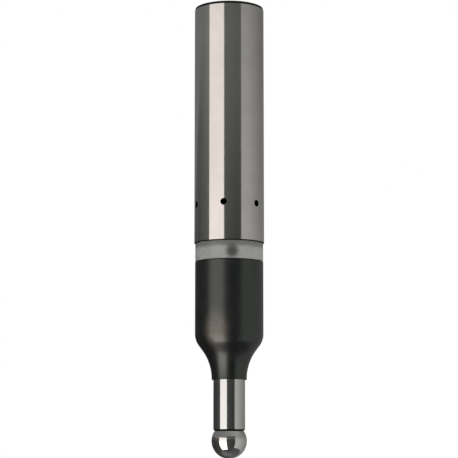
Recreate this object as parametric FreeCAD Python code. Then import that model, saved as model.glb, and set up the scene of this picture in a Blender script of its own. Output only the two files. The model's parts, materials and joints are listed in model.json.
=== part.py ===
import FreeCAD, Part
import math
import os

from FreeCAD import Vector

# Three-dimensional edge finder, tip down, in millimetres.
# The origin is on the axis at the shank's lower end, and +Z points up the shank.
# Depths below the shank are positive numbers, and become heights with a minus sign.

# Clearances
SEAT_GAP = 0.01
PIVOT_CLEARANCE = 0.05
SLIDE_CLEARANCE = 0.03
LIP_CLEARANCE = 0.05
STOP_GAP = 0.05

# Shank
SHANK_DIAMETER = 20.0
SHANK_TOP_CHAMFER = 0.4
SHANK_EDGE_BREAK = 0.3
CHAMBER_WALL = 1.8
CHAMBER_DEPTH = 24.0
SOUND_HOLE_DIAMETER = 1.9
SOUND_HOLE_COUNT = 6
SOUND_HOLE_HEIGHT = 10.85
SOUND_HOLE_ANGLE = -99.1

# Battery, its sleeve and its two contacts
BATTERY_DIAMETER = 10.3
BATTERY_LENGTH = 28.5
BATTERY_BUTTON_DIAMETER = 3.6
BATTERY_BUTTON_HEIGHT = 1.0
BATTERY_CLEARANCE = 0.2
SLEEVE_WALL = 1.15
SLEEVE_CLEARANCE = 0.1
SLEEVE_PAST_BATTERY = 1.5
CONTACT_PLATE_THICKNESS = 1.2
RIVET_DIAMETER = 1.8
RIVET_HEAD_DIAMETER = 4.0
RIVET_HEAD_HEIGHT = 1.0
CONTACT_SPRING_LENGTH = 7.5
CONTACT_SPRING_BASE_RADIUS = 4.4
CONTACT_SPRING_TIP_RADIUS = 2.4
CONTACT_SPRING_TURNS = 3
CONTACT_SPRING_WIRE = 0.5

# Battery cap and its seal
CAP_BORE_WALL = 2.5
CAP_BORE_DEPTH = 8.0
CAP_CLEARANCE = 0.05
CAP_RECESS = 0.3
CAP_EDGE_BREAK = 0.3
CAP_SLOT_WIDTH = 1.8
CAP_SLOT_DEPTH = 2.2
SEAL_DEPTH = 4.0
SEAL_THICKNESS = 0.86
SEAL_GROOVE_WIDTH = 1.0

# Circuit board, its posts, the parts on it and the buzzer
BOARD_THICKNESS = 1.2
BOARD_CLEARANCE = 0.2
BOARD_WIRE_HOLE_DIAMETER = 2.0
POST_DIAMETER = 2.2
POST_INSET = 1.8
POST_COUNT = 3
POST_ANGLE = 30.0
BUZZER_DIAMETER = 9.2
BUZZER_HEIGHT = 5.5
BUZZER_PORT_DIAMETER = 1.6
BUZZER_PORT_DEPTH = 0.8
PART_CIRCLE_INSET = 1.85
CHIP_SIZE = 2.6
CHIP_LENGTH = 3.8
CHIP_HEIGHT = 1.1
CAPACITOR_DIAMETER = 2.4
CAPACITOR_HEIGHT = 4.6
RESISTOR_WIDTH = 1.3
RESISTOR_LENGTH = 2.6
RESISTOR_HEIGHT = 0.6

# Insulating bush between the shank and the head
BUSH_HEIGHT = 5.0
BUSH_WALL = 1.2

# Light ring and the lights behind it
RING_INSET = 0.3
RING_WALL = 1.9
RING_HEIGHT = 5.2
RING_EDGE_BREAK = 0.15
STRIP_THICKNESS = 0.2
STRIP_END_GAP = 0.3
LIGHT_COUNT = 3
LIGHT_ANGLE = -83.0
LIGHT_WIDTH = 3.6
LIGHT_HEIGHT = 2.4
LIGHT_THICKNESS = 1.6
LIGHT_LENS_DIAMETER = 2.0
LIGHT_LENS_THICKNESS = 0.2
LIGHT_DEPTH = 2.1

# Boot, whose section is a straight sleeve, a round shoulder, a cone, a hollow flare and a lip
BOOT_INSET = 0.25
BOOT_WALL = 1.25
BOOT_TOP_ROUND = 0.25
SHOULDER_DEPTH = 25.78
SHOULDER_RADIUS = 5.65
CONE_ANGLE = 36.6
FLARE_RADIUS = 13.65
NECK_DIAMETER = 9.98
LIP_HEIGHT = 0.27
LIP_EDGE_BREAK = 0.08

# Head core
CORE_WALL = 1.0
CORE_ROOF = 1.0
CORE_BELOW_PIVOTS = 2.5
CORE_NECK_DIAMETER = 10.5
CORE_NECK_BORE = 6.0
CORE_FLANGE_THICKNESS = 3.0

# Gimbal
PIVOT_DEPTH = 18.0
PIVOT_PIN_DIAMETER = 1.6
PIVOT_PIN_END_GAP = 0.2
GIMBAL_CLEARANCE = 0.4
GIMBAL_WALL = 1.3
GIMBAL_HEIGHT = 3.0

# Spring that brings the stylus upright
SPRING_SEAT_THICKNESS = 0.8
SPRING_SEAT_CLEARANCE = 0.2
RETURN_SPRING_RADIUS = 5.2
RETURN_SPRING_TURNS = 3
RETURN_SPRING_WIRE = 0.6

# Stylus guide, its bush and its plug
GUIDE_CLEARANCE = 0.5
GUIDE_FLANGE_CLEARANCE = 1.4
GUIDE_FLANGE_THICKNESS = 1.5
GUIDE_ABOVE_PIVOTS = 6.5
GUIDE_BELOW_PIVOTS = 9.0
GUIDE_WALL = 1.3
GUIDE_BUSH_SHOULDER = 0.2
PLUG_THICKNESS = 1.8
PLUG_RIM = 0.6
PLUG_SPIGOT_DIAMETER = 2.2
PLUG_SPIGOT_HEIGHT = 1.2

# Stylus, with its stem, stop ring and spring
STYLUS_DIAMETER = 9.0
STYLUS_END_BREAK = 0.35
STYLUS_TRAVEL = 5.0
STYLUS_TOP_CLEARANCE = 0.2
STYLUS_SHOULDER_CLEARANCE = 1.0
STEM_DIAMETER = 6.0
STEM_BORE_DIAMETER = 3.6
STEM_BORE_LENGTH = 12.5
STEM_ABOVE_RING = 0.4
STOP_RING_DIAMETER = 7.0
STOP_RING_THICKNESS = 0.55
STOP_GROOVE_DEPTH = 0.5
STYLUS_SPRING_CLEARANCE = 0.2
STYLUS_SPRING_TURNS = 8
STYLUS_SPRING_WIRE = 0.35

# Ball and the stud that holds it in the stylus
BALL_DIAMETER = 10.0
BALL_DEPTH = 56.0
BALL_SEAT_DIAMETER = 8.2
BALL_STUD_DIAMETER = 3.5
BALL_STUD_LENGTH = 9.0
STUD_END_GAP = 0.5

# The wire of every spring is drawn with this many flats
WIRE_FLATS = 8

# Heights up the shank that follow from what it holds
contact_plate_bottom = CHAMBER_DEPTH - CONTACT_PLATE_THICKNESS
battery_bottom = CHAMBER_DEPTH + RIVET_HEAD_HEIGHT
battery_top = battery_bottom + BATTERY_LENGTH
cap_bottom = battery_top + CONTACT_SPRING_LENGTH
shank_length = cap_bottom + CAP_BORE_DEPTH
cap_top = shank_length - CAP_RECESS
board_bottom = BUSH_HEIGHT
board_top = board_bottom + BOARD_THICKNESS

# Radii inside the shank
shank_radius = SHANK_DIAMETER / 2
chamber_radius = shank_radius - CHAMBER_WALL
cap_bore_radius = shank_radius - CAP_BORE_WALL
cap_radius = cap_bore_radius - CAP_CLEARANCE
seal_groove_radius = cap_bore_radius - SEAL_THICKNESS - 2 * SEAT_GAP
battery_radius = BATTERY_DIAMETER / 2
sleeve_bore_radius = battery_radius + BATTERY_CLEARANCE
sleeve_radius = sleeve_bore_radius + SLEEVE_WALL
battery_bore_radius = sleeve_radius + SLEEVE_CLEARANCE
bush_radius = chamber_radius - SEAT_GAP
core_flange_radius = bush_radius - BUSH_WALL - SEAT_GAP

# Radii and heights in the head
ring_radius = shank_radius - RING_INSET
boot_radius = shank_radius - BOOT_INSET
boot_bore_radius = boot_radius - BOOT_WALL
core_radius = boot_bore_radius - SEAT_GAP
core_bore_radius = core_radius - CORE_WALL
core_top = -RING_HEIGHT
core_ceiling = core_top - CORE_ROOF
core_bottom = -PIVOT_DEPTH - CORE_BELOW_PIVOTS
core_neck_radius = CORE_NECK_DIAMETER / 2
strip_radius = core_neck_radius + SEAT_GAP + STRIP_THICKNESS
gimbal_radius = core_bore_radius - GIMBAL_CLEARANCE
gimbal_bore_radius = gimbal_radius - GIMBAL_WALL
guide_radius = gimbal_bore_radius - GUIDE_CLEARANCE
guide_cavity_radius = guide_radius - GUIDE_WALL - GUIDE_BUSH_SHOULDER
guide_bush_radius = guide_radius - GUIDE_WALL
plug_radius = guide_cavity_radius + PLUG_RIM
guide_flange_radius = core_bore_radius - GUIDE_FLANGE_CLEARANCE
spring_seat_bottom = core_ceiling - SPRING_SEAT_THICKNESS
guide_top = GUIDE_ABOVE_PIVOTS - PIVOT_DEPTH
guide_bottom = -PIVOT_DEPTH - GUIDE_BELOW_PIVOTS
plug_bottom = guide_top - PLUG_THICKNESS
pivot_pin_radius = PIVOT_PIN_DIAMETER / 2

# Heights along the stylus
stem_top = plug_bottom - STYLUS_TRAVEL - STYLUS_TOP_CLEARANCE
stop_ring_top = stem_top - STEM_ABOVE_RING
stop_ring_bottom = stop_ring_top - STOP_RING_THICKNESS
guide_bush_top = stop_ring_bottom - STOP_GAP
stylus_shoulder = guide_bottom - STYLUS_TRAVEL - STYLUS_SHOULDER_CLEARANCE
stylus_radius = STYLUS_DIAMETER / 2
stem_radius = STEM_DIAMETER / 2
stem_bore_radius = STEM_BORE_DIAMETER / 2
stem_bore_bottom = stem_top - STEM_BORE_LENGTH
ball_radius = BALL_DIAMETER / 2
ball_seat_radius = BALL_SEAT_DIAMETER / 2
ball_seat_rise = math.sqrt(ball_radius ** 2 - ball_seat_radius ** 2)
stylus_bottom = ball_seat_rise - BALL_DEPTH
stud_top = BALL_STUD_LENGTH - BALL_DEPTH


def at(radius, height):
    """A point of a section through the axis."""
    return Vector(radius, 0, height)


def line(start, end):
    return Part.LineSegment(start, end).toShape()


def turned_edges(edges):
    """A solid of revolution about the axis, from a closed section."""
    face = Part.Face(Part.Wire(edges))
    return face.revolve(Vector(0, 0, 0), Vector(0, 0, 1), 360)


def turned(*corners):
    """A solid of revolution about the axis, from the straight-sided section's corners."""
    points = [at(radius, height) for radius, height in corners]
    return turned_edges(Part.makePolygon(points + points[:1]).Edges)


def tube(outer_radius, inner_radius, bottom, top):
    return turned(
        (inner_radius, bottom), (outer_radius, bottom), (outer_radius, top), (inner_radius, top)
    )


def cylinder(radius, bottom, top, place=(0, 0)):
    return Part.makeCylinder(radius, top - bottom, Vector(place[0], place[1], bottom))


def around(angle, radius, height):
    """A point at an angle in degrees about the axis, counted from +X towards +Y."""
    turn = math.radians(angle)
    return Vector(radius * math.cos(turn), radius * math.sin(turn), height)


def spaced(count, first_angle):
    return [first_angle + 360.0 * number / count for number in range(count)]


def radial_pin(radius, inner_reach, outer_reach, angle, height):
    start = around(angle, inner_reach, height)
    return Part.makeCylinder(radius, outer_reach - inner_reach, start, around(angle, 1, 0))


def block(width, depth, rise, angle, inner_reach, bottom):
    """A box that faces outward at an angle, with its inner side at a distance from the axis."""
    box = Part.makeBox(depth, width, rise, Vector(inner_reach, -width / 2, bottom))
    box.rotate(Vector(0, 0, 0), Vector(0, 0, 1), angle)
    return box


def wire_section(x, z, wire_radius):
    """The outline of a spring's wire, across the section plane."""
    flats = [math.radians(360.0 * (number + 0.5) / WIRE_FLATS) for number in range(WIRE_FLATS)]
    corners = [
        Vector(x + wire_radius * math.cos(turn), 0, z + wire_radius * math.sin(turn))
        for turn in flats
    ]
    return Part.makePolygon(corners + corners[:1])


def coil_spring(bottom, top, bottom_radius, top_radius, turns, wire):
    """A compression spring as half turns of wire, with a level half turn closing each end.

    Each half turn joins two points on opposite sides of the axis, and starts where the last ends.
    """
    wire_radius = wire / 2
    low = bottom + wire_radius
    high = top - wire_radius
    halves = 2 * turns
    heights = [low] + [low + (high - low) * number / halves for number in range(halves + 1)] + [high]
    steps = len(heights) - 1
    places = []
    for number, height in enumerate(heights):
        radius = bottom_radius + (top_radius - bottom_radius) * number / steps
        side = 1 if number % 2 == 0 else -1
        places.append((side * radius, height))
    section = wire_section(places[0][0], places[0][1], wire_radius)
    faces = [Part.Face(section)]
    for (start_x, start_z), (end_x, end_z) in zip(places, places[1:]):
        middle = Vector((start_x + end_x) / 2, 0, (start_z + end_z) / 2)
        axis = Vector(start_z - end_z, 0, end_x - start_x)
        if axis.z < 0:
            axis = axis.negative()
        faces += section.revolve(middle, axis, 180).Faces
        section = section.rotated(middle, axis, 180)
    faces.append(Part.Face(section))
    shell = Part.makeShell(faces)
    shell.sewShape()
    return Part.makeSolid(shell)


def make_shank():
    body = turned(
        (chamber_radius, 0),
        (shank_radius - SHANK_EDGE_BREAK, 0),
        (shank_radius, SHANK_EDGE_BREAK),
        (shank_radius, shank_length - SHANK_TOP_CHAMFER),
        (shank_radius - SHANK_TOP_CHAMFER, shank_length),
        (cap_bore_radius, shank_length),
        (cap_bore_radius, cap_bottom),
        (battery_bore_radius, cap_bottom),
        (battery_bore_radius, CHAMBER_DEPTH),
        (chamber_radius, CHAMBER_DEPTH),
    )
    for angle in spaced(SOUND_HOLE_COUNT, SOUND_HOLE_ANGLE):
        hole = radial_pin(
            SOUND_HOLE_DIAMETER / 2, chamber_radius / 2, SHANK_DIAMETER, angle, SOUND_HOLE_HEIGHT
        )
        body = body.cut(hole)
    return body


def make_battery_cap():
    seal_height = shank_length - SEAL_DEPTH
    groove_bottom = seal_height - SEAL_GROOVE_WIDTH / 2
    groove_top = seal_height + SEAL_GROOVE_WIDTH / 2
    body = turned(
        (0, cap_bottom),
        (cap_radius, cap_bottom),
        (cap_radius, groove_bottom),
        (seal_groove_radius, groove_bottom),
        (seal_groove_radius, groove_top),
        (cap_radius, groove_top),
        (cap_radius, cap_top - CAP_EDGE_BREAK),
        (cap_radius - CAP_EDGE_BREAK, cap_top),
        (0, cap_top),
    )
    slot = Part.makeBox(
        2 * cap_bore_radius,
        CAP_SLOT_WIDTH,
        CAP_SLOT_DEPTH,
        Vector(-cap_bore_radius, -CAP_SLOT_WIDTH / 2, cap_top - CAP_SLOT_DEPTH),
    )
    return body.cut(slot)


def make_cap_seal():
    centre_radius = seal_groove_radius + SEAT_GAP + SEAL_THICKNESS / 2
    return Part.makeTorus(
        centre_radius, SEAL_THICKNESS / 2, Vector(0, 0, shank_length - SEAL_DEPTH)
    )


def make_contact_spring():
    return coil_spring(
        battery_top,
        cap_bottom,
        CONTACT_SPRING_TIP_RADIUS,
        CONTACT_SPRING_BASE_RADIUS,
        CONTACT_SPRING_TURNS,
        CONTACT_SPRING_WIRE,
    )


def make_battery():
    case = cylinder(battery_radius, battery_bottom + BATTERY_BUTTON_HEIGHT, battery_top)
    button = cylinder(
        BATTERY_BUTTON_DIAMETER / 2, battery_bottom, battery_bottom + BATTERY_BUTTON_HEIGHT
    )
    return case.fuse(button)


def make_battery_sleeve():
    return tube(sleeve_radius, sleeve_bore_radius, CHAMBER_DEPTH, battery_top + SLEEVE_PAST_BATTERY)


def make_contact_plate():
    return tube(
        chamber_radius - SEAT_GAP, RIVET_DIAMETER / 2 + SEAT_GAP, contact_plate_bottom, CHAMBER_DEPTH
    )


def make_contact_rivet():
    stem = cylinder(RIVET_DIAMETER / 2, contact_plate_bottom, CHAMBER_DEPTH)
    head = cylinder(RIVET_HEAD_DIAMETER / 2, CHAMBER_DEPTH, battery_bottom)
    return stem.fuse(head)


def make_board_standoffs():
    reach = chamber_radius - POST_INSET
    posts = []
    for angle in spaced(POST_COUNT, POST_ANGLE):
        centre = around(angle, reach, 0)
        posts.append(
            cylinder(POST_DIAMETER / 2, board_top, contact_plate_bottom, (centre.x, centre.y))
        )
    return Part.makeCompound(posts)


def make_circuit_board():
    return tube(
        chamber_radius - BOARD_CLEARANCE, BOARD_WIRE_HOLE_DIAMETER / 2, board_bottom, board_top
    )


def make_board_parts():
    """A chip, a capacitor and a pair of resistors, one between each two posts."""
    chip_angle, capacitor_angle, resistor_angle = spaced(POST_COUNT, POST_ANGLE + 180.0 / POST_COUNT)[:3]
    reach = chamber_radius - PART_CIRCLE_INSET
    chip = block(
        CHIP_LENGTH, CHIP_SIZE, CHIP_HEIGHT, chip_angle, reach - CHIP_SIZE / 2, board_top
    )
    centre = around(capacitor_angle, reach, 0)
    capacitor = cylinder(
        CAPACITOR_DIAMETER / 2, board_top, board_top + CAPACITOR_HEIGHT, (centre.x, centre.y)
    )
    spread = math.degrees(RESISTOR_WIDTH / reach)
    resistors = [
        block(
            RESISTOR_WIDTH,
            RESISTOR_LENGTH,
            RESISTOR_HEIGHT,
            resistor_angle + side * spread,
            reach - RESISTOR_LENGTH / 2,
            board_top,
        )
        for side in (-1, 1)
    ]
    return Part.makeCompound([chip, capacitor] + resistors)


def make_buzzer():
    top = board_top + BUZZER_HEIGHT
    can = cylinder(BUZZER_DIAMETER / 2, board_top, top)
    port = cylinder(BUZZER_PORT_DIAMETER / 2, top - BUZZER_PORT_DEPTH, top + BUZZER_PORT_DEPTH)
    return can.cut(port)


def make_insulating_bush():
    return tube(bush_radius, bush_radius - BUSH_WALL, 0, BUSH_HEIGHT)


def make_light_ring():
    bore_radius = ring_radius - RING_WALL
    return turned(
        (bore_radius, core_top),
        (ring_radius - RING_EDGE_BREAK, core_top),
        (ring_radius, core_top + RING_EDGE_BREAK),
        (ring_radius, -RING_EDGE_BREAK),
        (ring_radius - RING_EDGE_BREAK, 0),
        (bore_radius, 0),
    )


def make_led_strip():
    return tube(
        strip_radius, core_neck_radius + SEAT_GAP, core_top + STRIP_END_GAP, -STRIP_END_GAP
    )


def make_indicator_leds():
    lights = []
    for angle in spaced(LIGHT_COUNT, LIGHT_ANGLE):
        body = block(
            LIGHT_WIDTH, LIGHT_THICKNESS, LIGHT_HEIGHT, angle, strip_radius, -LIGHT_DEPTH - LIGHT_HEIGHT / 2
        )
        face = strip_radius + LIGHT_THICKNESS
        lens = radial_pin(
            LIGHT_LENS_DIAMETER / 2,
            face - LIGHT_LENS_THICKNESS,
            face + LIGHT_LENS_THICKNESS,
            angle,
            -LIGHT_DEPTH,
        )
        lights.append(body.fuse(lens))
    return Part.makeCompound(lights)


def make_head_core():
    flange_bottom = BUSH_HEIGHT - CORE_FLANGE_THICKNESS
    bore = CORE_NECK_BORE / 2
    body = turned(
        (bore, core_ceiling),
        (core_bore_radius, core_ceiling),
        (core_bore_radius, core_bottom),
        (core_radius, core_bottom),
        (core_radius, core_top),
        (core_neck_radius, core_top),
        (core_neck_radius, flange_bottom),
        (core_flange_radius, flange_bottom),
        (core_flange_radius, BUSH_HEIGHT),
        (bore, BUSH_HEIGHT),
    )
    for angle in (0, 180):
        body = body.cut(
            radial_pin(
                pivot_pin_radius + SEAT_GAP, gimbal_radius, SHANK_DIAMETER, angle, -PIVOT_DEPTH
            )
        )
    return body


def arc_between(centre, radius, first_angle, last_angle):
    """An arc in the section plane, with angles in degrees counted from outward towards up."""
    places = []
    for angle in (first_angle, (first_angle + last_angle) / 2, last_angle):
        turn = math.radians(angle)
        places.append(centre + Vector(radius * math.cos(turn), 0, radius * math.sin(turn)))
    return Part.Arc(places[0], places[1], places[2]).toShape(), places[0], places[2]


def make_boot():
    """One wall thickness down to the cone, and thinner from there to the lip round the stylus."""
    slope = math.radians(CONE_ANGLE)
    shoulder_centre = at(boot_radius - SHOULDER_RADIUS, -SHOULDER_DEPTH)
    neck_radius = NECK_DIAMETER / 2
    lip_bore_radius = stylus_radius + LIP_CLEARANCE
    flare_drop = FLARE_RADIUS * math.tan(slope / 2)

    shoulder, shoulder_top, cone_top = arc_between(shoulder_centre, SHOULDER_RADIUS, 0, -CONE_ANGLE)
    corner_drop = (cone_top.x - neck_radius) / math.tan(slope)
    flare_end = cone_top.z - corner_drop - flare_drop
    flare_centre = at(neck_radius + FLARE_RADIUS, flare_end)
    flare, cone_bottom, neck = arc_between(flare_centre, FLARE_RADIUS, 180 - CONE_ANGLE, 180)

    inner_radius = SHOULDER_RADIUS - BOOT_WALL
    inner_shoulder, inner_top, inner_cone_top = arc_between(
        shoulder_centre, inner_radius, 0, -CONE_ANGLE
    )
    inner_drop = (inner_cone_top.x - lip_bore_radius) / math.tan(slope)
    inner_end = inner_cone_top.z - inner_drop - flare_drop
    inner_centre = at(lip_bore_radius + FLARE_RADIUS, inner_end)
    inner_flare, inner_cone_bottom, inner_neck = arc_between(
        inner_centre, FLARE_RADIUS, 180 - CONE_ANGLE, 180
    )

    round_centre = at(boot_radius - BOOT_TOP_ROUND, core_top - BOOT_TOP_ROUND)
    top_round, round_side, round_top = arc_between(round_centre, BOOT_TOP_ROUND, 0, 90)
    lip_bottom = flare_end - LIP_HEIGHT
    lip_side = at(neck_radius, lip_bottom + LIP_EDGE_BREAK)
    lip_outer = at(neck_radius - LIP_EDGE_BREAK, lip_bottom)
    lip_inner = at(lip_bore_radius, lip_bottom)
    bore_top = at(boot_bore_radius, core_top)
    return turned_edges([
        line(bore_top, round_top),
        top_round,
        line(round_side, shoulder_top),
        shoulder,
        line(cone_top, cone_bottom),
        flare,
        line(neck, lip_side),
        line(lip_side, lip_outer),
        line(lip_outer, lip_inner),
        line(lip_inner, inner_neck),
        inner_flare,
        line(inner_cone_bottom, inner_cone_top),
        inner_shoulder,
        line(inner_top, bore_top),
    ])


def make_outer_pivots():
    pins = [
        radial_pin(
            pivot_pin_radius,
            gimbal_bore_radius + PIVOT_PIN_END_GAP,
            core_radius - PIVOT_PIN_END_GAP,
            angle,
            -PIVOT_DEPTH,
        )
        for angle in (0, 180)
    ]
    return Part.makeCompound(pins)


def make_gimbal_ring():
    half = GIMBAL_HEIGHT / 2
    body = tube(gimbal_radius, gimbal_bore_radius, -PIVOT_DEPTH - half, -PIVOT_DEPTH + half)
    for angle in (0, 90, 180, 270):
        body = body.cut(
            radial_pin(
                pivot_pin_radius + PIVOT_CLEARANCE, guide_radius, core_radius, angle, -PIVOT_DEPTH
            )
        )
    return body


def make_inner_pivots():
    pins = [
        radial_pin(
            pivot_pin_radius,
            guide_cavity_radius + PIVOT_PIN_END_GAP,
            gimbal_radius - PIVOT_PIN_END_GAP,
            angle,
            -PIVOT_DEPTH,
        )
        for angle in (90, 270)
    ]
    return Part.makeCompound(pins)


def make_stylus_guide():
    body = turned(
        (guide_bush_radius, guide_bottom),
        (guide_radius, guide_bottom),
        (guide_radius, guide_top - GUIDE_FLANGE_THICKNESS),
        (guide_flange_radius, guide_top - GUIDE_FLANGE_THICKNESS),
        (guide_flange_radius, guide_top),
        (plug_radius, guide_top),
        (plug_radius, plug_bottom),
        (guide_cavity_radius, plug_bottom),
        (guide_cavity_radius, guide_bush_top),
        (guide_bush_radius, guide_bush_top),
    )
    for angle in (90, 270):
        body = body.cut(
            radial_pin(pivot_pin_radius + SEAT_GAP, stem_radius, gimbal_radius, angle, -PIVOT_DEPTH)
        )
    return body


def make_guide_bush():
    return tube(
        guide_bush_radius - SEAT_GAP, stem_radius + SLIDE_CLEARANCE, guide_bottom, guide_bush_top
    )


def make_guide_plug():
    spigot_radius = PLUG_SPIGOT_DIAMETER / 2
    return turned(
        (0, guide_top),
        (plug_radius - SEAT_GAP, guide_top),
        (plug_radius - SEAT_GAP, plug_bottom),
        (spigot_radius, plug_bottom),
        (spigot_radius, plug_bottom - PLUG_SPIGOT_HEIGHT),
        (0, plug_bottom - PLUG_SPIGOT_HEIGHT),
    )


def make_spring_seat():
    return tube(
        core_bore_radius - SPRING_SEAT_CLEARANCE, CORE_NECK_BORE / 2, spring_seat_bottom, core_ceiling
    )


def make_return_spring():
    return coil_spring(
        guide_top,
        spring_seat_bottom,
        RETURN_SPRING_RADIUS,
        RETURN_SPRING_RADIUS,
        RETURN_SPRING_TURNS,
        RETURN_SPRING_WIRE,
    )


def make_stylus_spring():
    radius = stem_bore_radius - STYLUS_SPRING_CLEARANCE - STYLUS_SPRING_WIRE / 2
    return coil_spring(
        stem_bore_bottom, plug_bottom, radius, radius, STYLUS_SPRING_TURNS, STYLUS_SPRING_WIRE
    )


def make_stylus():
    """The ball's seat is a cone that touches the ball all round the stylus's lower rim."""
    stud_bore_radius = BALL_STUD_DIAMETER / 2 + SEAT_GAP
    seat_slope = ball_seat_radius / ball_seat_rise
    seat_top = stylus_bottom + (ball_seat_radius - stud_bore_radius) * seat_slope
    stud_bore_top = stud_top + STUD_END_GAP
    groove_radius = stem_radius - STOP_GROOVE_DEPTH
    return turned(
        (0, stud_bore_top),
        (stud_bore_radius, stud_bore_top),
        (stud_bore_radius, seat_top),
        (ball_seat_radius, stylus_bottom),
        (stylus_radius - STYLUS_END_BREAK, stylus_bottom),
        (stylus_radius, stylus_bottom + STYLUS_END_BREAK),
        (stylus_radius, stylus_shoulder),
        (stem_radius, stylus_shoulder),
        (stem_radius, stop_ring_bottom - SEAT_GAP),
        (groove_radius, stop_ring_bottom - SEAT_GAP),
        (groove_radius, stop_ring_top + SEAT_GAP),
        (stem_radius, stop_ring_top + SEAT_GAP),
        (stem_radius, stem_top),
        (stem_bore_radius, stem_top),
        (stem_bore_radius, stem_bore_bottom),
        (0, stem_bore_bottom),
    )


def make_stop_ring():
    return tube(
        STOP_RING_DIAMETER / 2,
        stem_radius - STOP_GROOVE_DEPTH + SEAT_GAP,
        stop_ring_bottom,
        stop_ring_top,
    )


def make_ball_tip():
    ball = Part.makeSphere(ball_radius, Vector(0, 0, -BALL_DEPTH))
    stud = cylinder(BALL_STUD_DIAMETER / 2, -BALL_DEPTH, stud_top)
    return ball.fuse(stud)


PARTS = {
    "shank": make_shank,
    "battery_cap": make_battery_cap,
    "cap_seal": make_cap_seal,
    "contact_spring": make_contact_spring,
    "battery": make_battery,
    "battery_sleeve": make_battery_sleeve,
    "contact_plate": make_contact_plate,
    "contact_rivet": make_contact_rivet,
    "board_standoffs": make_board_standoffs,
    "circuit_board": make_circuit_board,
    "board_parts": make_board_parts,
    "buzzer": make_buzzer,
    "insulating_bush": make_insulating_bush,
    "light_ring": make_light_ring,
    "led_strip": make_led_strip,
    "indicator_leds": make_indicator_leds,
    "head_core": make_head_core,
    "boot": make_boot,
    "spring_seat": make_spring_seat,
    "return_spring": make_return_spring,
    "outer_pivots": make_outer_pivots,
    "gimbal_ring": make_gimbal_ring,
    "inner_pivots": make_inner_pivots,
    "stylus_guide": make_stylus_guide,
    "guide_bush": make_guide_bush,
    "guide_plug": make_guide_plug,
    "stylus_spring": make_stylus_spring,
    "stylus": make_stylus,
    "stop_ring": make_stop_ring,
    "ball_tip": make_ball_tip,
}

os.makedirs("parts", exist_ok=True)
for name, make in PARTS.items():
    make().exportStep("parts/" + name + ".step")
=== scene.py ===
import json
import math

import bmesh
import bpy
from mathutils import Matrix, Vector


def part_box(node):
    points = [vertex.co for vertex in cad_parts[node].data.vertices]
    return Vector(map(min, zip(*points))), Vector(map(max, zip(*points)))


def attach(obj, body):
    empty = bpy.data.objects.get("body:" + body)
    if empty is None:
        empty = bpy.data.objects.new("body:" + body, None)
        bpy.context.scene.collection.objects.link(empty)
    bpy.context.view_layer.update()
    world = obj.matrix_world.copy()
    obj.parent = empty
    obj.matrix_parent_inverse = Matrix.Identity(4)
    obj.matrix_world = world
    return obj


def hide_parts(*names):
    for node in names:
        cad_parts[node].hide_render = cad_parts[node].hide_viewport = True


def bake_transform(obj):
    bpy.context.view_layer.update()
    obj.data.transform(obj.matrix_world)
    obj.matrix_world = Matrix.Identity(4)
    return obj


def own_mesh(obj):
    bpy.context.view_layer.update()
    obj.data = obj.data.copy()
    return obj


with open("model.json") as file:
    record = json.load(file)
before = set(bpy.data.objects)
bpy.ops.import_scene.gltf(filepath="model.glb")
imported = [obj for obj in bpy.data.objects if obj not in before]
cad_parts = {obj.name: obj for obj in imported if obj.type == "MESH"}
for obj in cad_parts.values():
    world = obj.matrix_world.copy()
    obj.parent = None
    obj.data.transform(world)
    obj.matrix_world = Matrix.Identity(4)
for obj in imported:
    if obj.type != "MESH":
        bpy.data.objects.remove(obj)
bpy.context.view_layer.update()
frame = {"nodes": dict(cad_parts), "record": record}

# Sizes are in millimetres, in the frame of the solids, and become metres in the meshes.
MM = 0.001

# Meshes
COLUMNS = 192
SHARP_ANGLE = 25.0
ROUND_STEPS = 4
ARC_STEP_DEGREES = 2.5
BOOT_STEP = 0.6
HOLE_SIDES = 40
LONG_FACE = 0.15
MOST_ASKEW = 0.05

# Broken edges that get painted shade, as the width of their band and the least tilt of their faces
EDGE_BAND = 0.5
EDGE_SLANT = 0.06

# Small rounds on the edges
SHANK_ROUND = 0.05
CHAMBER_ROUND = 0.1
CAP_ROUND = 0.1
RING_ROUND = 0.08
STYLUS_ROUND = 0.07

# Shank
SHANK_CHAMFER = 0.18
SHANK_CHAMFER_DROP = 0.74
SHANK_BREAK = 0.2
CHAMBER_RADIUS = 8.2
CHAMBER_DEPTH = 24.0
BATTERY_BORE_RADIUS = 6.6
CAP_BORE_RADIUS = 7.5
CAP_BORE_DEPTH = 8.0
HOLE_RADIUS = 0.95
HOLE_BREAK = 0.02
HOLE_COUNT = 6
HOLE_HEIGHT = 10.85
HOLE_ANGLE = -99.1

# Battery cap
SLOT_WIDTH = 1.8
SLOT_DEPTH = 2.2
SEAL_DEPTH = 4.0
GROOVE_WIDTH = 1.0
GROOVE_RADIUS = 6.62
CAP_BREAK = 0.3

# Light ring
RING_BORE_RADIUS = 7.8
RING_BREAK = 0.15
# Painted shade: the ring is darker in a band along its top, where the shank above shades it
RING_SHADE_BAND = (-2.2, -0.9)
RING_SHADE_TONE = 0.5

# Painted shade: soft dark spots on the ring, where the lights sit behind its frosted wall
LIGHT_COUNT = 3
LIGHT_ANGLE = -85.0
LIGHT_HEIGHT = -3.1
LIGHT_REACH = (2.7, 2.9)
LIGHT_CORE = 0.24
LIGHT_SHADE_TONE = 0.26

# Boot
BOOT_WALL = 1.25
BOOT_TOP_ROUND = 0.25
SHOULDER_DEPTH = 25.78
SHOULDER_RADIUS = 5.65
CONE_ANGLE = 36.6
FLARE_RADIUS = 13.65
NECK_RADIUS = 4.99
LIP_BREAK = 0.08
LIP_CLEARANCE = 0.05
BEND_START = -20.5
BOOT_SEAM = -28.8
BEND_END = -35.0

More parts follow.
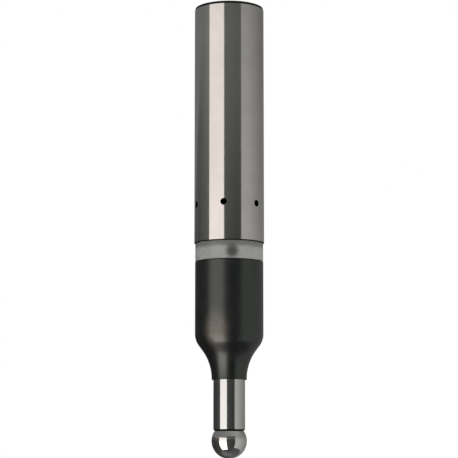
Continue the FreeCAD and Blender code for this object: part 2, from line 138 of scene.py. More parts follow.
# Painted highlight low on the boot: a browner, brighter patch of colour where the softbox's reflection
# falls, with fine speckle, so it scatters more light
SHEEN_ANGLE = -113.0
SHEEN_HEIGHT = -25.3
SHEEN_REACH = (5.0, 7.6)
SHEEN_CORE = 0.15
SHEEN_SPECKLE = 1600.0
SHEEN_RANGE = (0.6, 1.2)
SHEEN_COLOUR = (0.102, 0.073, 0.061)

# Stylus
STYLUS_SHOULDER = -33.0
STYLUS_END_BREAK = 0.35
STEM_RADIUS = 3.0
STEM_BORE_RADIUS = 1.8
STEM_BORE_LENGTH = 12.5
GROOVE_TOP = -18.89
GROOVE_BOTTOM = -19.46
GROOVE_DEPTH = 0.5
BALL_SEAT_RADIUS = 4.1
STUD_RADIUS = 1.75
STUD_CLEARANCE = 0.01
STUD_END_GAP = 0.5
BALL_RADIUS = 5.0
BALL_HEIGHT = -56.0

# Springs that move, with the slack that their ends have
SPRING_SLACK = 0.02
RETURN_SPRING_RADIUS = 5.2
RETURN_SPRING_TURNS = 3
RETURN_SPRING_WIRE = 0.6
STYLUS_SPRING_RADIUS = 1.425
STYLUS_SPRING_TURNS = 8
STYLUS_SPRING_WIRE = 0.35
WIRE_SIDES = 16
HALF_TURN_STEPS = 20

# Camera, whose angle and distance fit the photograph
CAMERA_PLACE = (-0.00006, -0.497, -0.06439)
CAMERA_TILT = 7.873
CAMERA_LENS = 137.55
SENSOR_WIDTH = 36.0

# Studio
FLOOR_HEIGHT = -0.12
FLOOR_SIZE = 8.0
FLOOR_PARTS = 8
CARD_CENTRE = Vector((0.0, 0.0, -0.03))
CARD_RADIUS = 3.0
CARD_PARTS = 36
DOME_RADIUS = 3.4
GLOW_BEHIND = (-130, -71)
GLOW_WIDTH = 22
GLOW_LEVEL = 0.13
WORLD_DIFFUSE = 0.55

# Lamps, each with its place, its size and its power in watts
LAMPS = {
    "key": ((-1.4, -1.8, 1.6), 1.6, 28.0),
    "fill": ((1.8, -1.2, 1.2), 1.8, 19.0),
    "back": ((0.6, 2.0, 1.6), 1.8, 10.5),
}


def link(obj):
    bpy.context.collection.objects.link(obj)
    return obj


def box_mm(node):
    """A solid's radius, bottom and top in millimetres."""
    low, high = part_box(node)
    return high.x / MM, low.z / MM, high.z / MM


def lathe(name, outline, columns=COLUMNS):
    """A closed mesh turned about the axis, from a closed outline of (radius, height) points."""
    model = bmesh.new()
    rings = []
    for radius, height in outline:
        if radius < 1e-6:
            rings.append([model.verts.new((0.0, 0.0, height * MM))] * columns)
            continue
        ring = []
        for column in range(columns):
            turn = 2 * math.pi * column / columns
            place = (radius * math.cos(turn) * MM, radius * math.sin(turn) * MM, height * MM)
            ring.append(model.verts.new(place))
        rings.append(ring)
    for ring, following in zip(rings, rings[1:] + rings[:1]):
        for column in range(columns):
            beside = (column + 1) % columns
            corners = []
            for vertex in (ring[column], ring[beside], following[beside], following[column]):
                if vertex not in corners:
                    corners.append(vertex)
            if len(corners) > 2:
                model.faces.new(corners)
    return finished_mesh(name, model)


def finished_mesh(name, model):
    """The mesh object, smooth but for its corners, with faces turned outward."""
    bmesh.ops.recalc_face_normals(model, faces=model.faces)
    for face in model.faces:
        face.smooth = True
    mesh = bpy.data.meshes.new(name)
    model.to_mesh(mesh)
    model.free()
    mesh.set_sharp_from_angle(angle=math.radians(SHARP_ANGLE))
    return link(bpy.data.objects.new(name, mesh))


def rounded(corners):
    """An outline whose corners, given as (radius, height, round), become small arcs."""
    points = []
    for before, corner, after in zip(corners[-1:] + corners[:-1], corners, corners[1:] + corners[:1]):
        here = Vector(corner[:2])
        size = corner[2]
        if not size:
            points.append(tuple(here))
            continue
        back = (Vector(before[:2]) - here).normalized()
        ahead = (Vector(after[:2]) - here).normalized()
        half = back.angle(ahead) / 2
        centre = here + (back + ahead).normalized() * size / math.sin(half)
        start = here + back * size / math.tan(half) - centre
        end = here + ahead * size / math.tan(half) - centre
        for step in range(ROUND_STEPS + 1):
            spoke = start.lerp(end, step / ROUND_STEPS).normalized() * size
            points.append(tuple(centre + spoke))
    return points


def arc(centre, radius, first_angle, last_angle):
    """Points of an arc of the section, with angles counted from outward towards up."""
    steps = max(2, math.ceil(abs(last_angle - first_angle) / ARC_STEP_DEGREES))
    points = []
    for step in range(steps + 1):
        turn = math.radians(first_angle + (last_angle - first_angle) * step / steps)
        points.append((centre[0] + radius * math.cos(turn), centre[1] + radius * math.sin(turn)))
    return points


def divided(points, step):
    """The open outline with long runs divided, so that it can bend."""
    result = [points[0]]
    for start, end in zip(points, points[1:]):
        parts = max(1, math.ceil(math.dist(start, end) / step))
        for part in range(1, parts + 1):
            share = part / parts
            result.append((
                start[0] + (end[0] - start[0]) * share,
                start[1] + (end[1] - start[1]) * share,
            ))
    return result


def true_normals(obj):
    """Shades the long turned faces as the exact cylinder or cone, also beside a cut."""
    mesh = obj.data
    normals = [corner.vector.copy() for corner in mesh.corner_normals]
    for face in mesh.polygons:
        middle = face.center
        outward = Vector((middle.x, middle.y, 0.0))
        if outward.length < 1e-7:
            continue
        outward.normalize()
        places = [mesh.vertices[index].co for index in face.vertices]
        across = max(
            abs(face.normal.cross(Vector((place.x, place.y, 0.0)).normalized()).z) for place in places
        )
        reach = [math.hypot(place.x, place.y) for place in places]
        rise = [place.z for place in places]
        length = math.hypot(max(reach) - min(reach), max(rise) - min(rise))
        if across > MOST_ASKEW or length < LONG_FACE * MM:
            continue
        out_part = face.normal.dot(outward)
        for loop, place in zip(face.loop_indices, places):
            direction = Vector((place.x, place.y, 0.0)).normalized()
            normals[loop] = (direction * out_part + Vector((0, 0, face.normal.z))).normalized()
    mesh.normals_split_custom_set(normals)


def cut(obj, cutter):
    """Takes the cutter's shape out of the mesh, and the cutter out of the scene."""
    modifier = obj.modifiers.new("cut", "BOOLEAN")
    modifier.operation = "DIFFERENCE"
    modifier.solver = "EXACT"
    modifier.object = cutter
    graph = bpy.context.evaluated_depsgraph_get()
    mesh = bpy.data.meshes.new_from_object(obj.evaluated_get(graph))
    obj.modifiers.clear()
    obj.data = mesh
    bpy.data.objects.remove(cutter)
    for face in mesh.polygons:
        face.use_smooth = True
    mesh.set_sharp_from_angle(angle=math.radians(SHARP_ANGLE))


def hole_cutter(wall_radius):
    """One mesh of drills, each with its edge broken at the wall's surface."""
    model = bmesh.new()
    outline = [
        (HOLE_RADIUS, CHAMBER_RADIUS / 2),
        (HOLE_RADIUS, wall_radius - 2 * HOLE_BREAK),
        (HOLE_RADIUS + 3 * HOLE_BREAK, wall_radius + HOLE_BREAK),
        (HOLE_RADIUS + 3 * HOLE_BREAK, wall_radius + HOLE_RADIUS),
    ]
    for number in range(HOLE_COUNT):
        turn = math.radians(HOLE_ANGLE + 360.0 * number / HOLE_COUNT)
        outward = Vector((math.cos(turn), math.sin(turn), 0.0))
        side = Vector((-math.sin(turn), math.cos(turn), 0.0))
        rings = []
        for radius, reach in outline:
            ring = []
            for corner in range(HOLE_SIDES):
                angle = 2 * math.pi * corner / HOLE_SIDES
                place = outward * reach + side * radius * math.cos(angle)
                place.z = HOLE_HEIGHT + radius * math.sin(angle)
                ring.append(model.verts.new(place * MM))
            rings.append(ring)
        for ring, following in zip(rings, rings[1:]):
            for corner in range(HOLE_SIDES):
                beside = (corner + 1) % HOLE_SIDES
                model.faces.new((ring[corner], ring[beside], following[beside], following[corner]))
        model.faces.new(rings[0])
        model.faces.new(rings[-1])
    return finished_mesh("drills", model)


def make_shank():
    radius, bottom, top = box_mm("shank")
    cap_floor = top - CAP_BORE_DEPTH
    obj = lathe("drilled_shank", rounded([
        (CHAMBER_RADIUS, bottom, CHAMBER_ROUND),
        (radius - SHANK_BREAK, bottom, SHANK_ROUND),
        (radius, bottom + SHANK_BREAK, SHANK_ROUND),
        (radius, top - SHANK_CHAMFER_DROP, SHANK_ROUND),
        (radius - SHANK_CHAMFER, top, SHANK_ROUND),
        (CAP_BORE_RADIUS, top, SHANK_ROUND),
        (CAP_BORE_RADIUS, cap_floor, 0),
        (BATTERY_BORE_RADIUS, cap_floor, 0),
        (BATTERY_BORE_RADIUS, CHAMBER_DEPTH, 0),
        (CHAMBER_RADIUS, CHAMBER_DEPTH, 0),
    ]))
    cut(obj, hole_cutter(radius))
    true_normals(obj)
    return obj


def make_cap():
    radius, bottom, top = box_mm("battery_cap")
    shank_top = box_mm("shank")[2]
    groove = shank_top - SEAL_DEPTH
    obj = lathe("slotted_cap", rounded([
        (0, bottom, 0),
        (radius, bottom, CAP_ROUND),
        (radius, groove - GROOVE_WIDTH / 2, 0),
        (GROOVE_RADIUS, groove - GROOVE_WIDTH / 2, 0),
        (GROOVE_RADIUS, groove + GROOVE_WIDTH / 2, 0),
        (radius, groove + GROOVE_WIDTH / 2, 0),
        (radius, top - CAP_BREAK, CAP_ROUND),
        (radius - CAP_BREAK, top, CAP_ROUND),
        (0, top, 0),
    ]))
    model = bmesh.new()
    bmesh.ops.create_cube(model, size=1.0)
    for vertex in model.verts:
        place = vertex.co
        vertex.co = Vector((
            place.x * 4 * radius,
            place.y * SLOT_WIDTH,
            top + place.z * 2 * SLOT_DEPTH,
        )) * MM
    cut(obj, finished_mesh("slot", model))
    true_normals(obj)
    return obj


def make_ring():
    radius, bottom, top = box_mm("light_ring")
    obj = lathe("frosted_ring", rounded([
        (RING_BORE_RADIUS, bottom, RING_ROUND),
        (radius - RING_BREAK, bottom, RING_ROUND / 2),
        (radius, bottom + RING_BREAK, RING_ROUND / 2),
        (radius, top - RING_BREAK, RING_ROUND / 2),
        (radius - RING_BREAK, top, RING_ROUND / 2),
        (RING_BORE_RADIUS, top, RING_ROUND),
    ]))
    true_normals(obj)
    return obj


def boot_sides():
    """The boot's outer side from its top edge down to the lip, and its inner side likewise."""
    radius, bottom, top = box_mm("boot")
    slope = math.radians(CONE_ANGLE)
    stylus_radius = box_mm("stylus")[0]
    flare_drop = FLARE_RADIUS * math.tan(slope / 2)
    centre = (radius - SHOULDER_RADIUS, -SHOULDER_DEPTH)
    sides = []
    for shoulder_radius, neck_radius in (
        (SHOULDER_RADIUS, NECK_RADIUS),
        (SHOULDER_RADIUS - BOOT_WALL, stylus_radius + LIP_CLEARANCE),
    ):
        shoulder = arc(centre, shoulder_radius, 0, -CONE_ANGLE)
        cone_radius, cone_height = shoulder[-1]
        flare_end = cone_height - (cone_radius - neck_radius) / math.tan(slope) - flare_drop
        flare_centre = (neck_radius + FLARE_RADIUS, flare_end)
        sides.append(shoulder + arc(flare_centre, FLARE_RADIUS, 180 - CONE_ANGLE, 180))
    outer, inner = sides
    edge_centre = (radius - BOOT_TOP_ROUND, top - BOOT_TOP_ROUND)
    edge = arc(edge_centre, BOOT_TOP_ROUND, 0, 90)[::-1]
    lip = [(NECK_RADIUS, bottom + LIP_BREAK), (NECK_RADIUS - LIP_BREAK, bottom)]
    outer = edge + outer + lip
    inner = [(radius - BOOT_WALL, top)] + inner + [(stylus_radius + LIP_CLEARANCE, bottom)]
    return outer, inner


def split_at(points, height):
    """The part of a falling side above a height and the part below it, both with a point there."""
    for number, (start, end) in enumerate(zip(points, points[1:])):
        if start[1] >= height > end[1]:
            share = (start[1] - height) / (start[1] - end[1])
            place = (start[0] + (end[0] - start[0]) * share, height)
            return points[:number + 1] + [place], [place] + points[number + 1:]


def make_boot():
    """Two pieces that meet on the shoulder."""
    outer, inner = boot_sides()
    outer_above, outer_below = split_at(outer, BOOT_SEAM)
    inner_above, inner_below = split_at(inner, BOOT_SEAM)
    pieces = []
    for name, outside, inside in (
        ("boot_upper", outer_above, inner_above),
        ("boot_lower", outer_below, inner_below),
    ):
        outline = divided(outside, BOOT_STEP) + divided(inside, BOOT_STEP)[::-1]
        pieces.append(lathe(name, outline))
    return pieces


def make_stylus():
    radius, bottom, top = box_mm("stylus")
    stud_radius = STUD_RADIUS + STUD_CLEARANCE
    seat_slope = BALL_SEAT_RADIUS / (bottom - BALL_HEIGHT)
    seat_top = bottom + (BALL_SEAT_RADIUS - stud_radius) * seat_slope
    stud_bore_top = box_mm("ball_tip")[2] + STUD_END_GAP
    stem_bore_bottom = top - STEM_BORE_LENGTH
    groove_radius = STEM_RADIUS - GROOVE_DEPTH
    obj = lathe("turned_stylus", rounded([
        (0, stud_bore_top, 0),
        (stud_radius, stud_bore_top, 0),
        (stud_radius, seat_top, 0),
        (BALL_SEAT_RADIUS, bottom, 0),
        (radius - STYLUS_END_BREAK, bottom, STYLUS_ROUND / 2),
        (radius, bottom + STYLUS_END_BREAK, STYLUS_ROUND),
        (radius, STYLUS_SHOULDER, STYLUS_ROUND),
        (STEM_RADIUS, STYLUS_SHOULDER, 0),
        (STEM_RADIUS, GROOVE_BOTTOM, 0),
        (groove_radius, GROOVE_BOTTOM, 0),
        (groove_radius, GROOVE_TOP, 0),
        (STEM_RADIUS, GROOVE_TOP, 0),
        (STEM_RADIUS, top, STYLUS_ROUND),
        (STEM_BORE_RADIUS, top, STYLUS_ROUND),
        (STEM_BORE_RADIUS, stem_bore_bottom, 0),
        (0, stem_bore_bottom, 0),
    ]))
    true_normals(obj)
    return obj


def make_ball():
    stud_top = box_mm("ball_tip")[2]
    stud_angle = math.degrees(math.acos(STUD_RADIUS / BALL_RADIUS))
    ball = arc((0, BALL_HEIGHT), BALL_RADIUS, -90, stud_angle)
    outline = [(0, BALL_HEIGHT - BALL_RADIUS)] + ball[1:] + [(STUD_RADIUS, stud_top), (0, stud_top)]
    return lathe("gauge_ball", outline)


def make_coil(name, node, radius, turns, wire, first, last):
    """A run of half turns out of a spring that closes each end with one more, level, half turn."""
    bottom, top = box_mm(node)[1:]
    low = bottom + wire / 2 + SPRING_SLACK
    high = top - wire / 2 - SPRING_SLACK
    halves = 2 * turns
    heights = [low + (high - low) * number / halves for number in range(halves + 1)]
    heights = [low] + heights + [high]
    model = bmesh.new()
    rings = []
    for number in range(first, last):
        side = 1 if number % 2 == 0 else -1
        start = Vector((side * radius, 0.0, heights[number]))
        end = Vector((-side * radius, 0.0, heights[number + 1]))
        middle = (start + end) / 2
        reach = start - middle
        axis = Vector((side * (end.z - start.z) / 2, 0.0, radius)).normalized()
        ahead = axis.cross(reach)
        for step in range(HALF_TURN_STEPS + (number == last - 1)):
            turn = math.pi * step / HALF_TURN_STEPS
            outward = reach * math.cos(turn) + ahead * math.sin(turn)
            spoke = outward.normalized()
            ring = []
            for corner in range(WIRE_SIDES):
                angle = 2 * math.pi * corner / WIRE_SIDES
                offset = (spoke * math.cos(angle) + axis * math.sin(angle)) * wire / 2
                ring.append(model.verts.new((middle + outward + offset) * MM))
            rings.append(ring)
    for ring, following in zip(rings, rings[1:]):
        for corner in range(WIRE_SIDES):
            beside = (corner + 1) % WIRE_SIDES
            model.faces.new((ring[corner], ring[beside], following[beside], following[corner]))
    model.faces.new(rings[0])
    model.faces.new(rings[-1])
    return finished_mesh(name, model)


# Stretches of a texture, the second for turned and ground faces, and the middle of the noise's range
EVEN = (1, 1, 1)
RINGED = (0.02, 0.02, 1.0)
NOISE_MIDDLE = (0.3, 0.7)


def grain(tree, stretch, scale, detail=3.0):
    """Noise that follows the piece, stretched along the axes, with scale in waves a metre."""
    place = tree.nodes.new("ShaderNodeTexCoord")
    mapping = tree.nodes.new("ShaderNodeMapping")
    mapping.inputs["Scale"].default_value = stretch
    noise = tree.nodes.new("ShaderNodeTexNoise")
    noise.inputs["Scale"].default_value = scale
    noise.inputs["Detail"].default_value = detail
    tree.links.new(place.outputs["Object"], mapping.inputs["Vector"])
    tree.links.new(mapping.outputs["Vector"], noise.inputs["Vector"])
    return noise.outputs["Fac"]


def spread(tree, value, low, high):
    """Maps the middle of the noise's range onto low to high."""
    node = tree.nodes.new("ShaderNodeMapRange")
    node.inputs["From Min"].default_value = NOISE_MIDDLE[0]
    node.inputs["From Max"].default_value = NOISE_MIDDLE[1]
    node.inputs["To Min"].default_value = low
    node.inputs["To Max"].default_value = high
    tree.links.new(value, node.inputs["Value"])
    return node.outputs["Result"]


def colours(tree, value, dark, light):
    node = tree.nodes.new("ShaderNodeValToRGB")
    node.color_ramp.elements[0].position = NOISE_MIDDLE[0]
    node.color_ramp.elements[1].position = NOISE_MIDDLE[1]
    node.color_ramp.elements[0].color = (*dark, 1.0)
    node.color_ramp.elements[1].color = (*light, 1.0)
    tree.links.new(value, node.inputs["Fac"])
    return node.outputs["Color"]


def bumps(tree, value, strength, depth, under=None):
    node = tree.nodes.new("ShaderNodeBump")
    node.inputs["Strength"].default_value = strength
    node.inputs["Distance"].default_value = depth
    tree.links.new(value, node.inputs["Height"])
    if under:
        tree.links.new(under, node.inputs["Normal"])
    return node.outputs["Normal"]


def surface(
    name, dark, light, rough, mottle=900.0, texture=9000.0, stretch=EVEN, bump=0.2, depth=2e-6, **uniform
):
    """A material whose colour drifts slowly and whose fine texture is in roughness and relief."""
    material = bpy.data.materials.new(name)
    material.use_nodes = True
    tree = material.node_tree
    shader = tree.nodes["Principled BSDF"]
    slow = grain(tree, EVEN, mottle)
    fine = grain(tree, stretch, texture)
    tree.links.new(colours(tree, slow, dark, light), shader.inputs["Base Color"])
    tree.links.new(spread(tree, fine, *rough), shader.inputs["Roughness"])
    tree.links.new(bumps(tree, fine, bump, depth), shader.inputs["Normal"])
    for label, value in uniform.items():
        shader.inputs[label.replace("_", " ")].default_value = value
    return material


MATERIALS = {
    "ground_steel": surface(
        "ground_steel", (0.60, 0.59, 0.575), (0.655, 0.645, 0.63), (0.07, 0.13),
        mottle=160.0, texture=6000.0, stretch=RINGED, bump=0.12, depth=1e-6, Metallic=1.0,
    ),
    "polished_steel": surface(
        "polished_steel", (0.69, 0.685, 0.675), (0.74, 0.735, 0.725), (0.02, 0.05),
        mottle=250.0, texture=2500.0, bump=0.02, depth=1e-6, Metallic=1.0,
    ),
    "spring_steel": surface(
        "spring_steel", (0.42, 0.42, 0.42), (0.55, 0.55, 0.55), (0.2, 0.32),
        mottle=1500.0, Metallic=1.0,
    ),
    "bronze": surface(
        "bronze", (0.60, 0.44, 0.22), (0.70, 0.54, 0.32), (0.2, 0.34),
        mottle=700.0, texture=7000.0, stretch=RINGED, Metallic=1.0,
    ),
    "insulator": surface(
        "insulator", (0.68, 0.66, 0.60), (0.78, 0.76, 0.71), (0.42, 0.55), mottle=500.0,
    ),
    "board_laminate": surface(
        "board_laminate", (0.022, 0.16, 0.06), (0.035, 0.23, 0.09), (0.2, 0.35),
        mottle=2500.0, texture=6000.0, bump=0.3, depth=1e-5,
    ),
    "black_plastic": surface(
        "black_plastic", (0.016, 0.016, 0.016), (0.026, 0.026, 0.026), (0.4, 0.55),
        mottle=900.0, bump=0.3, depth=5e-6,
    ),
    "light_body": surface(
        "light_body", (0.06, 0.065, 0.085), (0.08, 0.085, 0.105), (0.1, 0.2), mottle=1500.0,
    ),
    "battery_case": surface(
        "battery_case", (0.12, 0.13, 0.15), (0.17, 0.18, 0.20), (0.25, 0.35),
        mottle=500.0, Metallic=0.4,
    ),
}


def socket(sockets, identifier):
    return next(each for each in sockets if each.identifier == identifier)


def reckon(tree, operation, *values):
    """One step of arithmetic on values that are each a number or the output of a node."""
    node = tree.nodes.new("ShaderNodeMath")
    node.operation = operation
    for place, value in zip(node.inputs, values):
        if isinstance(value, float):
            place.default_value = value
        else:
            tree.links.new(value, place)
    return node.outputs["Value"]


def eased(tree, value, span, tones):
    """Goes smoothly from one tone to the other over a span of the value."""
    node = tree.nodes.new("ShaderNodeMapRange")
    node.interpolation_type = "SMOOTHSTEP"
    node.inputs["From Min"].default_value = span[0]
    node.inputs["From Max"].default_value = span[1]
    node.inputs["To Min"].default_value = tones[0]
    node.inputs["To Max"].default_value = tones[1]
    tree.links.new(value, node.inputs["Value"])
    return node.outputs["Result"]


def object_place(tree):
    """The outputs X, Y and Z of the place on the piece."""
    place = tree.nodes.new("ShaderNodeTexCoord")
    parts = tree.nodes.new("ShaderNodeSeparateXYZ")
    tree.links.new(place.outputs["Object"], parts.inputs["Vector"])
    return parts.outputs


def patch(tree, angle, height, reach, radius, repeats=1):
    """Grows from 0 at a spot on a turned wall to 1 at its reach, in width and height, away from it."""
    parts = object_place(tree)
    half_share = math.pi / repeats
    turn = reckon(tree, "ARCTAN2", parts["Y"], parts["X"])
    turn = reckon(tree, "SUBTRACT", turn, math.radians(angle))
    turn = reckon(tree, "WRAP", turn, half_share, -half_share)
    along = reckon(tree, "MULTIPLY", turn, radius / reach[0])
    up = reckon(tree, "SUBTRACT", parts["Z"], height * MM)
    up = reckon(tree, "DIVIDE", up, reach[1] * MM)
    away = reckon(tree, "ADD", reckon(tree, "MULTIPLY", along, along), reckon(tree, "MULTIPLY", up, up))
    return reckon(tree, "SQRT", away)


def mixed(tree, kind, share, first, second):
    """A colour mixed from two, each a colour or the output of a node."""
    node = tree.nodes.new("ShaderNodeMix")
    node.data_type = "RGBA"
    node.blend_type = kind
    for identifier, value in (("Factor_Float", share), ("A_Color", first), ("B_Color", second)):
        place = socket(node.inputs, identifier)
        if isinstance(value, bpy.types.NodeSocket):
            tree.links.new(value, place)
        else:
            place.default_value = value
    return socket(node.outputs, "Result_Color")


def black_rubber():
    """Black rubber with a satin skin, and a painted highlight in a browner patch low on the boot."""
    material = surface(
        "black_rubber", (0.0045, 0.0052, 0.005), (0.0085, 0.0085, 0.009), (0.28, 0.35),
        mottle=350.0, texture=11000.0, bump=0.2, depth=4e-6,
        Specular_IOR_Level=0.92, Specular_Tint=(0.91, 1.0, 0.94, 1.0),
    )
    tree = material.node_tree
    shader = tree.nodes["Principled BSDF"]
    tone = shader.inputs["Base Color"].links[0].from_socket
    # Painted highlight: a brownish, brighter patch where the softbox's reflection falls low on the boot
    away = patch(tree, SHEEN_ANGLE, SHEEN_HEIGHT, SHEEN_REACH, box_mm("boot")[0])
    painted_sheen = eased(tree, away, (SHEEN_CORE, 1.0), (1.0, 0.0))
    speckle = spread(tree, grain(tree, EVEN, SHEEN_SPECKLE), *SHEEN_RANGE)
    painted_sheen = reckon(tree, "MULTIPLY", painted_sheen, speckle)
    with_sheen = mixed(tree, "MIX", painted_sheen, tone, (*SHEEN_COLOUR, 1.0))
    tree.links.new(with_sheen, shader.inputs["Base Color"])
    return material


def frosted_plastic():
    """Frosted plastic, with painted shade in a band along its top, where the shank shades it, and a
    painted soft dark spot in front of each light behind it.
    """
    material = surface(
        "frosted_plastic", (0.445, 0.45, 0.43), (0.49, 0.495, 0.475), (0.24, 0.30),
        mottle=300.0, texture=14000.0, bump=0.2, depth=4e-6,
        IOR=1.45, Transmission_Weight=0.45,
    )
    tree = material.node_tree
    shader = tree.nodes["Principled BSDF"]
    tone = shader.inputs["Base Color"].links[0].from_socket
    height = object_place(tree)["Z"]
    # Painted shade along the ring's top, where the shank shades it
    band = eased(tree, height, [edge * MM for edge in RING_SHADE_BAND], (1.0, RING_SHADE_TONE))
    # Painted shade: a soft dark spot in front of each light behind the frosted wall
    away = patch(tree, LIGHT_ANGLE, LIGHT_HEIGHT, LIGHT_REACH, box_mm("light_ring")[0], LIGHT_COUNT)
    spot = eased(tree, away, (LIGHT_CORE, 1.0), (LIGHT_SHADE_TONE, 1.0))
    shade = mixed(tree, "MULTIPLY", 1.0, tone, reckon(tree, "MULTIPLY", band, spot))
    tree.links.new(shade, shader.inputs["Base Color"])
    return material


MATERIALS["frosted_plastic"] = frosted_plastic()
MATERIALS["black_rubber"] = black_rubber()


# Painted shade for broken edges: a near-black finish standing in for the dark gaps and dark reflections
# there
PAINTED_EDGE_SHADE = surface(
    "painted_edge_shade", (0.003, 0.003, 0.003), (0.007, 0.007, 0.0068), (0.5, 0.65),
    mottle=900.0, texture=7000.0, stretch=RINGED, Specular_IOR_Level=0.12,
)


def dress(obj, slot):
    """Gives a new piece the finish of one of the record's material slots."""
    obj.data.materials.clear()
    obj.data.materials.append(MATERIALS[slot])


def paint_edge_shade(obj, heights):
    """Paints shade on the broken outer edges at these heights, so they look dark beside the ground wall.
    """
    obj.data.materials.append(PAINTED_EDGE_SHADE)
    reach = max(vertex.co.x for vertex in obj.data.vertices) - EDGE_BAND * MM
    for face in obj.data.polygons:
        middle = face.center
        near = min(abs(middle.z / MM - height) for height in heights) < EDGE_BAND
        slanted = abs(face.normal.z) > EDGE_SLANT
        if near and slanted and math.hypot(middle.x, middle.y) > reach:
            face.material_index = 1


def dress_solids():
    """Gives every solid its finish, also those that another piece stands for."""
    for part in frame["record"]["subparts"]:
        obj = frame["nodes"][part["node"]]
        for place in obj.material_slots:
            place.link = "OBJECT"
            place.material = MATERIALS[part["material_slot"]]


def place_pieces():
    shank = make_shank()
    stylus = make_stylus()
    for obj, node, slot, body in (
        (shank, "shank", "ground_steel", "shank"),
        (make_cap(), "battery_cap", "ground_steel", "shank"),
        (make_ring(), "light_ring", "frosted_plastic", "shank"),
        (stylus, "stylus", "ground_steel", "stylus"),
        (make_ball(), "ball_tip", "polished_steel", "stylus"),
    ):
        dress(obj, slot)
        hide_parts(node)
        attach(obj, body)
    paint_edge_shade(shank, box_mm("shank")[1:])
    paint_edge_shade(stylus, box_mm("stylus")[1:2])
    upper, lower = make_boot()
    for obj, first, second, start, end in (
        (upper, "shank", "gimbal", BEND_START, BOOT_SEAM),
        (lower, "gimbal", "guide", BOOT_SEAM, BEND_END),
    ):
        dress(obj, "black_rubber")
        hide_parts("boot")
        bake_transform(obj)
    # Painted shade on the boot's top edge, under the ring
    paint_edge_shade(upper, box_mm("boot")[2:])


def place_springs():
    """The upright spring as an upper and a lower half, and the stylus's own spring, attached to the
    guide.
    """
    bottom, top = box_mm("return_spring")[1:]
    seam = (bottom + top) / 2
    halves = 2 * RETURN_SPRING_TURNS + 2
    for name, run, first, second, start, end in (
        ("return_coil_upper", (halves // 2, halves), "shank", "gimbal", top, seam),
        ("return_coil_lower", (0, halves // 2), "gimbal", "guide", seam, bottom),
    ):
        obj = make_coil(
            name, "return_spring", RETURN_SPRING_RADIUS, RETURN_SPRING_TURNS, RETURN_SPRING_WIRE, *run
        )
        dress(obj, "spring_steel")
        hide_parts("return_spring")
        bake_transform(obj)
    bottom, top = box_mm("stylus_spring")[1:]
    obj = make_coil(
        "stylus_coil", "stylus_spring", STYLUS_SPRING_RADIUS, STYLUS_SPRING_TURNS,
        STYLUS_SPRING_WIRE, 0, 2 * STYLUS_SPRING_TURNS + 2,
    )
    dress(obj, "spring_steel")
    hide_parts("stylus_spring")
    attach(obj, "guide")
    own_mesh(obj)


def between(value, places):
    """A level read off a short list of (position, level) pairs, straight between them."""
    if value <= places[0][0]:
        return places[0][1]
    for (low, first), (high, second) in zip(places, places[1:]):
        if value <= high:
            return first + (second - first) * (value - low) / (high - low)
    return places[-1][1]


def direction(azimuth, elevation):
    """Azimuth 0 faces the camera and grows to its right."""
    turn = math.radians(azimuth)
    rise = math.radians(elevation)
    return Vector((
        math.sin(turn) * math.cos(rise), -math.cos(turn) * math.cos(rise), math.sin(rise)
    ))


def glow_material():
    material = bpy.data.materials.new("card_glow")
    material.use_nodes = True
    tree = material.node_tree
    tree.nodes.remove(tree.nodes["Principled BSDF"])
    level = tree.nodes.new("ShaderNodeAttribute")
    level.attribute_name = "level"
    glow = tree.nodes.new("ShaderNodeEmission")
    tree.links.new(level.outputs["Color"], glow.inputs["Color"])
    tree.links.new(glow.outputs["Emission"], tree.nodes["Material Output"].inputs["Surface"])
    return material


CARD_GLOW = glow_material()


def neutral(elevation):
    return Vector((1.0, 1.0, 1.0))


def warm(elevation):
    """Warmer towards the softbox's two ends."""
    share = between(elevation, [(-25, 1), (0, 0), (2, 0), (8, 1)])
    return Vector((1.0, 0.985, 0.965)).lerp(Vector((1.06, 0.965, 0.93)), share)


def greenish(elevation):
    return Vector((0.975, 1.02, 0.955))


def beige(elevation):
    return Vector((1.01, 1.0, 0.965))


def card(name, azimuths, bottom, top, level, radius=CARD_RADIUS, tint=neutral):
    """A curved studio card that only reflections see. Bottom and top may differ at its two ends."""
    model = bmesh.new()
    shade = model.verts.layers.float_color.new("level")
    grid = []
    for column in range(CARD_PARTS + 1):
        along = column / CARD_PARTS
        azimuth = azimuths[0] + (azimuths[1] - azimuths[0]) * along
        low = bottom[0] + (bottom[1] - bottom[0]) * along
        high = top[0] + (top[1] - top[0]) * along
        line = []
        for row in range(CARD_PARTS + 1):
            elevation = low + (high - low) * row / CARD_PARTS
            vertex = model.verts.new(CARD_CENTRE + direction(azimuth, elevation) * radius)
            vertex[shade] = [*(tint(elevation) * level(azimuth, elevation)), 1.0]
            line.append(vertex)
        grid.append(line)
    for line, following in zip(grid, grid[1:]):
        for row in range(CARD_PARTS):
            model.faces.new((line[row], line[row + 1], following[row + 1], following[row]))
    mesh = bpy.data.meshes.new(name)
    model.to_mesh(mesh)
    model.free()
    mesh.materials.append(CARD_GLOW)
    obj = link(bpy.data.objects.new(name, mesh))
    obj.visible_camera = False
    obj.visible_diffuse = False
    obj.visible_transmission = False
    obj.visible_shadow = False
    obj.visible_volume_scatter = False
    return obj


def softbox_level(azimuth, elevation):
    return between(elevation, [
        (-50, 2.9), (-20, 2.15), (-5, 1.6), (2, 1.32), (8, 1.27), (12, 1.13), (20, 1.1)
    ])


def front_level(azimuth, elevation):
    near = between(elevation, [(2, 0.08), (8, 0.085), (12, 0.13), (15, 0.166), (17, 0.17), (21, 0.09)])
    far = between(elevation, [(2, 0.055), (8, 0.06), (12, 0.113), (15, 0.14), (17, 0.15), (21, 0.075)])
    return between(azimuth, [(-4, near), (23, far)])


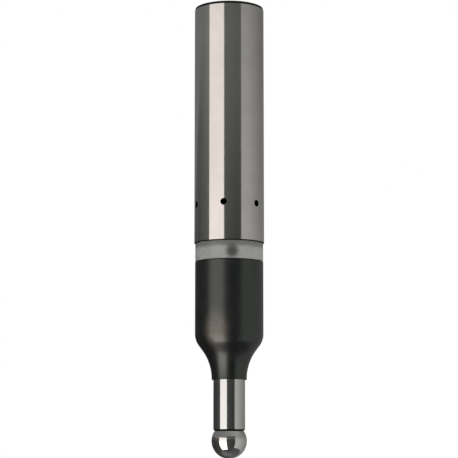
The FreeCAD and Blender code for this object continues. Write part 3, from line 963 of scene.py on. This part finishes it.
def right_level(azimuth, elevation):
    level = between(elevation, [(2, 0.53), (10, 0.48), (12, 0.455), (15, 0.395), (20, 0.36)])
    fall = between(azimuth, [(51, 1.0), (66, 0.945), (83, 0.82), (103, 0.68), (128, 0.53), (180, 0.45)])
    return level * fall


def left_level(azimuth, elevation):
    level = between(elevation, [
        (-56, 0.075), (-40, 0.045), (-15, 0.04), (2, 0.05), (8, 0.082), (12, 0.11), (15, 0.15)
    ])
    rise = between(azimuth, [(-180, 1.4), (-151, 1.3), (-117, 1.0), (-95, 1.3), (-76, 1.6)])
    return level * rise


def room_level(azimuth, elevation):
    """The room beyond the cards: a lit ceiling, and a dim floor with a glow behind."""
    wall = between(azimuth, [(-150, 0.19), (-60, 0.22), (0, 0.27), (60, 0.37), (180, 0.24)])
    ceiling = between(elevation, [(55, wall), (80, 0.5)])
    glow_angle = math.degrees(direction(azimuth, elevation).angle(direction(*GLOW_BEHIND)))
    floor = between(azimuth, [(-120, 0.06), (0, 0.06), (90, 0.10)])
    floor += GLOW_LEVEL * math.exp(-(glow_angle / GLOW_WIDTH) ** 2)
    return between(elevation, [(-5, floor), (5, ceiling)])


def make_studio():
    card("room", (-180, 180), (-90, -90), (90, 90), room_level, radius=DOME_RADIUS)
    card("softbox", (-69, -17), (-53, -57), (19, 19), softbox_level, tint=warm)
    card("front_flag", (-17, 40), (-57, -46), (28, 28), front_level, tint=greenish)
    card("right_wall", (40, 180), (-44, -36), (26, 62), right_level, tint=beige)
    card("left_flag", (-180, -69), (-50, -56), (6, 19), left_level, tint=greenish)


def make_floor():
    model = bmesh.new()
    bmesh.ops.create_grid(model, x_segments=FLOOR_PARTS, y_segments=FLOOR_PARTS, size=FLOOR_SIZE / 2)
    mesh = bpy.data.meshes.new("floor")
    model.to_mesh(mesh)
    model.free()
    obj = link(bpy.data.objects.new("floor", mesh))
    obj.location.z = FLOOR_HEIGHT
    mesh.materials.append(surface(
        "floor", (0.87, 0.87, 0.87), (0.88, 0.88, 0.88), (0.7, 0.8), mottle=6.0, texture=300.0
    ))
    obj.visible_glossy = False


def make_lamp(name, place, size, power):
    light = bpy.data.lights.new(name, "AREA")
    light.shape = "DISK"
    light.size = size
    light.energy = power
    obj = link(bpy.data.objects.new(name, light))
    obj.location = place
    obj.rotation_mode = "QUATERNION"
    obj.rotation_quaternion = (CARD_CENTRE - obj.location).to_track_quat("-Z", "Y")
    obj.visible_glossy = False
    obj.visible_transmission = False


def make_world():
    """White where the camera looks past the object, and a plain soft level on the object."""
    world = bpy.data.worlds.new("studio")
    bpy.context.scene.world = world
    world.use_nodes = True
    tree = world.node_tree
    path = tree.nodes.new("ShaderNodeLightPath")
    seen = tree.nodes.new("ShaderNodeMath")
    seen.operation = "ADD"
    seen.use_clamp = True
    bright = tree.nodes.new("ShaderNodeMath")
    bright.operation = "ADD"
    bright.use_clamp = True
    level = tree.nodes.new("ShaderNodeMapRange")
    level.inputs["To Min"].default_value = WORLD_DIFFUSE
    tree.links.new(path.outputs["Is Camera Ray"], seen.inputs[0])
    tree.links.new(path.outputs["Is Glossy Ray"], seen.inputs[1])
    tree.links.new(seen.outputs["Value"], bright.inputs[0])
    tree.links.new(path.outputs["Is Transmission Ray"], bright.inputs[1])
    tree.links.new(bright.outputs["Value"], level.inputs["Value"])
    background = tree.nodes["Background"]
    background.inputs["Color"].default_value = (1.0, 1.0, 1.0, 1.0)
    tree.links.new(level.outputs["Result"], background.inputs["Strength"])


def make_camera():
    camera = bpy.data.cameras.new("camera")
    camera.lens = CAMERA_LENS
    camera.sensor_width = SENSOR_WIDTH
    obj = link(bpy.data.objects.new("camera", camera))
    obj.location = CAMERA_PLACE
    obj.rotation_euler = (math.radians(90 + CAMERA_TILT), 0.0, 0.0)
    bpy.context.scene.camera = obj


make_camera()
dress_solids()
place_pieces()
place_springs()
make_studio()
make_floor()
for name, (place, size, power) in LAMPS.items():
    make_lamp(name, place, size, power)
make_world()
bpy.context.scene.view_settings.view_transform = "Standard"
